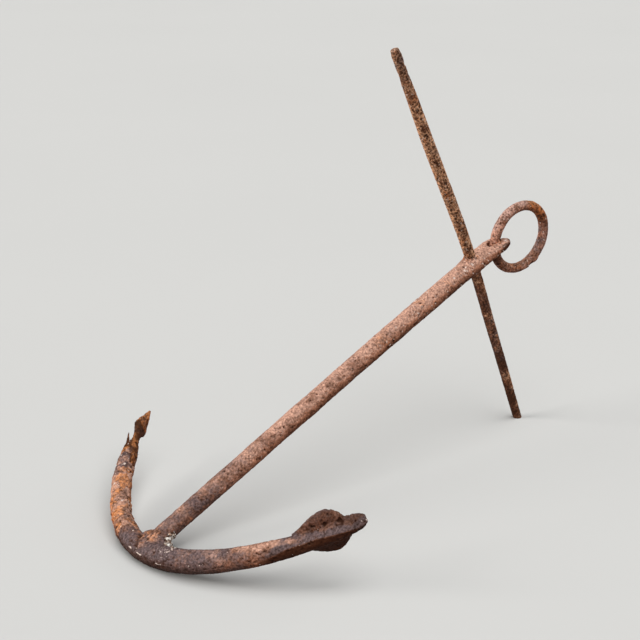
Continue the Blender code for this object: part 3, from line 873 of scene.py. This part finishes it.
def rust_material(name, speckle, grain, chip_and_glint_cover, underside, bump, tints=None):
    """A material of layered rust; tints replaces some of the shared colours."""
    colours = bpy.context.scene.anchor_colours
    material = bpy.data.materials.new(name)
    material.use_nodes = True
    tree = material.node_tree
    shader = tree.nodes["Principled BSDF"]
    group = add_node(tree, "ShaderNodeGroup")
    group.node_tree = layered_rust_group()
    for label in GROUP_COLOURS:
        colour = (tints or {}).get(label, getattr(colours, label.lower()))
        group.inputs[label].default_value = (*colour, 1.0)
    for mask in MASKS:
        attribute = add_node(tree, "ShaderNodeAttribute", attribute_name=mask)
        tree.links.new(attribute.outputs["Fac"], group.inputs[mask.title() + " Mask"])
    for label, amount in zip(GROUP_AMOUNTS, (speckle, grain, chip_and_glint_cover, underside)):
        group.inputs[label].default_value = amount
    tree.links.new(group.outputs["Color"], shader.inputs["Base Color"])
    tree.links.new(group.outputs["Roughness"], shader.inputs["Roughness"])
    relief = add_node(tree, "ShaderNodeBump")
    relief.inputs["Strength"].default_value = 0.9
    relief.inputs["Distance"].default_value = bump
    tree.links.new(group.outputs["Height"], relief.inputs["Height"])
    tree.links.new(relief.outputs["Normal"], shader.inputs["Normal"])
    shader.inputs["Specular IOR Level"].default_value = 0.08
    return material


# --- operators -------------------------------------------------------------------

# Balls that melt into one lump, as (centre, radius) in millimetres.
CRUST_BALLS = (((18.5, -7.6, 0.6), 2.3), ((15.6, -9.4, 1.2), 2.4), ((21.0, -7.4, -0.8), 1.9),
               ((13.6, -11.6, 1.6), 2.3), ((14.0, -10.4, -1.6), 2.3), ((11.8, -14.4, 2.8), 2.0),
               ((10.2, -17.0, 4.0), 1.7), ((9.6, -21.0, 4.8), 1.4), ((9.4, -25.0, 5.2), 1.3),
               ((10.0, -29.0, 5.4), 1.2))
SEAT_BALLS = (((391.5, -6.2, 2.8), 1.9), ((394.6, -6.0, 2.0), 1.8), ((388.6, -6.2, 3.2), 1.7),
              ((386.2, -4.8, 3.4), 1.5), ((396.6, -4.0, 0.6), 1.8), ((391.5, -5.0, 0.6), 2.2))
FILL_FACE = 0.35 * MM
COLLAR_FACE = 0.30 * MM

# Each lamp's name, setting, direction, apparent width in degrees and colour.
LAMPS = (
    ("overhead", "overhead_light", (-0.05, -0.35, 1.0), 60, (0.98, 0.99, 1.0)),
    ("left_side", "left_light", (-0.85, 0.45, 0.35), 35, (1.0, 0.99, 0.97)),
    ("front_fill", "front_light", (-0.25, -0.60, 0.75), 60, (1.0, 0.98, 0.95)),
    ("right_side", "right_light", (0.85, -0.20, 0.45), 50, (1.0, 0.98, 0.95)),
)


def dress(piece, slot_name, material, *nodes):
    """Finish a piece and put it in the place of the solids that it stands for."""
    piece.data.materials.append(material)
    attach(piece, "root")
    if nodes:
        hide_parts(*nodes)


class ANCHOR_OT_forged_body(bpy.types.Operator):
    """Shank, eye, arms and palms in one forging, with scale, pits and a wasted fluke"""
    bl_idname = "anchor.forged_body"
    bl_label = "Forged Body"

    def execute(self, context):
        surface = context.scene.anchor_surface
        piece = refined_copy("anchor_body", "forged_body", surface.body_face, 7, crisp_ends)
        sculpt(piece, body_rule)
        thin_out(piece)
        material = rust_material("forging_rust", speckle=0.25, grain=1.1, chip_and_glint_cover=0.9,
                                 underside=1.0, bump=0.6 * MM)
        dress(piece, "rusted_forging", material, "anchor_body")
        return {'FINISHED'}


class ANCHOR_OT_rod_stock(bpy.types.Operator):
    """Thin rod stock, densely pitted from end to end"""
    bl_idname = "anchor.rod_stock"
    bl_label = "Rod Stock"

    def execute(self, context):
        surface = context.scene.anchor_surface
        piece = refined_copy("stock", "rod_stock", surface.rod_face, 5)
        sculpt(piece, rod_rule)
        thin_out(piece)
        tints = {"Tan": (0.64, 0.385, 0.235), "Brown": (0.220, 0.099, 0.055)}
        material = rust_material("rod_rust", speckle=0.9, grain=1.6, chip_and_glint_cover=0.35,
                                 underside=0.5, bump=0.6 * MM, tints=tints)
        dress(piece, "rusted_rod", material, "stock")
        return {'FINISHED'}


class ANCHOR_OT_seized_ring(bpy.types.Operator):
    """Ring that rust holds out level in the eye"""
    bl_idname = "anchor.seized_ring"
    bl_label = "Seized Ring"

    def execute(self, context):
        surface = context.scene.anchor_surface
        piece = refined_copy("ring", "seized_ring", surface.rod_face, 6)
        sculpt(piece, ring_rule)
        thin_out(piece)
        tints = {"Tan": (0.47, 0.278, 0.220), "Film": (0.115, 0.084, 0.090)}
        material = rust_material("ring_rust", speckle=0.6, grain=1.2, chip_and_glint_cover=0.8,
                                 underside=0.8, bump=0.45 * MM, tints=tints)
        dress(piece, "rusted_ring", material, "ring")
        return {'FINISHED'}


class ANCHOR_OT_chalky_crust(bpy.types.Operator):
    """Pale crust in the corner between the shank's foot and the whole arm"""
    bl_idname = "anchor.chalky_crust"
    bl_label = "Chalky Crust"

    def execute(self, context):
        piece = lumpy_piece("chalky_crust", CRUST_BALLS, FILL_FACE)
        sculpt(piece, crust_rule)
        thin_out(piece)
        crust = context.scene.anchor_colours.crust
        tints = {"Brown": (0.30, 0.22, 0.17), "Tan": crust, "Chip": (0.8, 0.76, 0.70)}
        material = rust_material("chalky_deposit", speckle=0.5, grain=1.0, chip_and_glint_cover=0.8,
                                 underside=0.3, bump=0.5 * MM, tints=tints)
        dress(piece, "rusted_forging", material)
        return {'FINISHED'}


class ANCHOR_OT_rust_fill(bpy.types.Operator):
    """Rust that fills the gap around the ring in the eye"""
    bl_idname = "anchor.rust_fill"
    bl_label = "Rust Fill"

    def execute(self, context):
        piece = lumpy_piece("ring_seat_rust", SEAT_BALLS, FILL_FACE)
        sculpt(piece, fill_rule)
        thin_out(piece)
        material = rust_material("packed_rust", speckle=0.6, grain=1.1, chip_and_glint_cover=0.7,
                                 underside=0.6, bump=0.4 * MM)
        dress(piece, "rusted_forging", material)
        return {'FINISHED'}


def rod_at(height):
    """Centre and radius of the bare stock at a height on the anchor's axes."""
    near_by = [TO_ANCHOR @ v.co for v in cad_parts["stock"].data.vertices]
    near_by = [v for v in near_by if abs(v.z - height) < 9 * MM]
    centre = sum(near_by, Vector()) / len(near_by)
    radius = sum((v - centre).xy.length for v in near_by) / len(near_by)
    return centre, radius


def collar_mesh(name, body, side):
    """A skirt of rust where the stock comes out of the shank; side is 1 above, -1 below."""
    centre, radius = rod_at(side * 12 * MM)
    skin = BVHTree.FromObject(body, bpy.context.evaluated_depsgraph_get())
    down = ANCHOR_AXES.to_3x3() @ Vector((0.0, 0.0, -side))

    def skin_height(out, distance):
        start = centre + out * distance
        start.z = side * 40 * MM
        hit = skin.ray_cast(ANCHOR_AXES @ start, down)[0]
        return (TO_ANCHOR @ hit).z * side

    bm = bmesh.new()
    loops = []
    for step in range(COLLAR_STEPS):
        angle = math.tau * step / COLLAR_STEPS
        out = Vector((math.cos(angle), math.sin(angle), 0.0))
        uneven = lumps(out * 6 * MM + Vector((0.0, 0.0, side)), 5 * MM, 81)
        width = (2.2 + 1.1 * uneven) * MM
        climb = (2.0 + 1.2 * uneven) * MM
        rim = skin_height(out, radius + 1.2 * MM)
        edge = skin_height(out, radius + width)
        section = ((radius - 0.4 * MM, rim - 1.5 * MM), (radius - 0.2 * MM, rim + climb),
                   (radius + 0.35 * MM, rim + climb), (radius + 0.4 * width, rim + 0.35 * climb),
                   (radius + width, edge - 0.15 * MM), (radius + width, edge - 0.8 * MM))
        loop = []
        for distance, height in section:
            point = centre + out * distance
            point.z = side * height
            loop.append(bm.verts.new(ANCHOR_AXES @ point))
        loops.append(loop)
    for first, second in zip(loops, loops[1:] + loops[:1]):
        for i in range(len(first)):
            j = (i + 1) % len(first)
            bm.faces.new((first[i], first[j], second[j], second[i]))
    bmesh.ops.recalc_face_normals(bm, faces=bm.faces)
    mesh = bpy.data.meshes.new(name)
    bm.to_mesh(mesh)
    bm.free()
    return mesh


class ANCHOR_OT_stock_collars(bpy.types.Operator):
    """Rust that has grown where the stock comes out of the shank, above and below"""
    bl_idname = "anchor.stock_collars"
    bl_label = "Stock Collars"

    def execute(self, context):
        material = rust_material("collar_rust", speckle=0.6, grain=1.1, chip_and_glint_cover=0.7,
                                 underside=0.8, bump=0.35 * MM)
        for name, side in (("upper_collar", 1), ("lower_collar", -1)):
            mesh = collar_mesh(name, bpy.data.objects["forged_body"], side)
            piece = new_piece(name, mesh)
            even_out(piece, COLLAR_FACE, 4)
            sculpt(piece, fill_rule)
            thin_out(piece)
            dress(piece, "rusted_forging", material)
        return {'FINISHED'}


def soft_lamp(name, towards, strength, width, colour):
    """A lamp far away in the direction given; width is how wide it looks, in degrees."""
    light = bpy.data.lights.new(name, 'SUN')
    light.energy = strength
    light.angle = math.radians(width)
    light.color = colour
    lamp = bpy.data.objects.new(name, light)
    lamp.rotation_mode = 'QUATERNION'
    lamp.rotation_quaternion = Vector(towards).to_track_quat('Z', 'Y')
    bpy.context.scene.collection.objects.link(lamp)


def floor_material(colour):
    material = bpy.data.materials.new("plain_floor")
    material.use_nodes = True
    tree = material.node_tree
    shader = tree.nodes["Principled BSDF"]
    coords = add_node(tree, "ShaderNodeTexCoord")
    cloud = noise_node(tree, coords.outputs["Object"], 0.4, 2.0)
    pale = (*colour, 1.0)
    paler = tuple(1.03 * c for c in colour) + (1.0,)
    tree.links.new(mix_colour(tree, cloud, pale, paler), shader.inputs["Base Color"])
    shader.inputs["Roughness"].default_value = 0.9
    shader.inputs["Specular IOR Level"].default_value = 0.1
    return material


class ANCHOR_OT_stage(bpy.types.Operator):
    """Plain pale floor, soft studio light and the camera"""
    bl_idname = "anchor.stage"
    bl_label = "Stage"

    def execute(self, context):
        stage = context.scene.anchor_stage
        bpy.ops.mesh.primitive_circle_add(vertices=96, radius=FLOOR_RADIUS, fill_type='NGON')
        floor = context.object
        floor.name = "studio_floor"
        floor.data.materials.append(floor_material(stage.floor))

        for name, setting, towards, width, colour in LAMPS:
            soft_lamp(name, towards, getattr(stage, setting), width, colour)
        world = bpy.data.worlds.new("soft_surroundings")
        world.use_nodes = True
        background = world.node_tree.nodes["Background"]
        background.inputs["Color"].default_value = (0.92, 0.96, 1.0, 1.0)
        background.inputs["Strength"].default_value = stage.ambient
        context.scene.world = world
        context.scene.view_settings.view_transform = 'Standard'

        lens = bpy.data.cameras.new("camera")
        lens.lens = CAMERA_LENS
        lens.sensor_width = 36.0
        camera = bpy.data.objects.new("camera", lens)
        camera.location = CAMERA_PLACE
        camera.rotation_mode = 'QUATERNION'
        camera.rotation_quaternion = CAMERA_LOOK.to_track_quat('-Z', 'Y')
        context.scene.collection.objects.link(camera)
        context.scene.camera = camera
        return {'FINISHED'}


class VIEW3D_PT_rusted_anchor(bpy.types.Panel):
    """Lists the anchor's pieces"""
    bl_label = "Rusted Anchor"
    bl_space_type = 'VIEW_3D'
    bl_region_type = 'UI'
    bl_category = "Anchor"

    def draw(self, context):
        for operator in OPERATORS:
            self.layout.operator(operator.bl_idname)


OPERATORS = (
    ANCHOR_OT_forged_body,
    ANCHOR_OT_rod_stock,
    ANCHOR_OT_seized_ring,
    ANCHOR_OT_chalky_crust,
    ANCHOR_OT_rust_fill,
    ANCHOR_OT_stock_collars,
    ANCHOR_OT_stage,
)
CLASSES = (SurfaceSettings, ColourSettings, StageSettings, *OPERATORS, VIEW3D_PT_rusted_anchor)
SETTINGS = {
    "anchor_surface": SurfaceSettings,
    "anchor_colours": ColourSettings,
    "anchor_stage": StageSettings,
}


def register():
    for cls in CLASSES:
        bpy.utils.register_class(cls)
    for name, group in SETTINGS.items():
        setattr(bpy.types.Scene, name, PointerProperty(type=group))


def unregister():
    for name in SETTINGS:
        delattr(bpy.types.Scene, name)
    for cls in reversed(CLASSES):
        bpy.utils.unregister_class(cls)


def main():
    register()
    bpy.ops.anchor.forged_body()
    bpy.ops.anchor.rod_stock()
    bpy.ops.anchor.seized_ring()
    bpy.ops.anchor.chalky_crust()
    bpy.ops.anchor.rust_fill()
    bpy.ops.anchor.stock_collars()
    bpy.ops.anchor.stage()


if __name__ == "__main__":
    main()
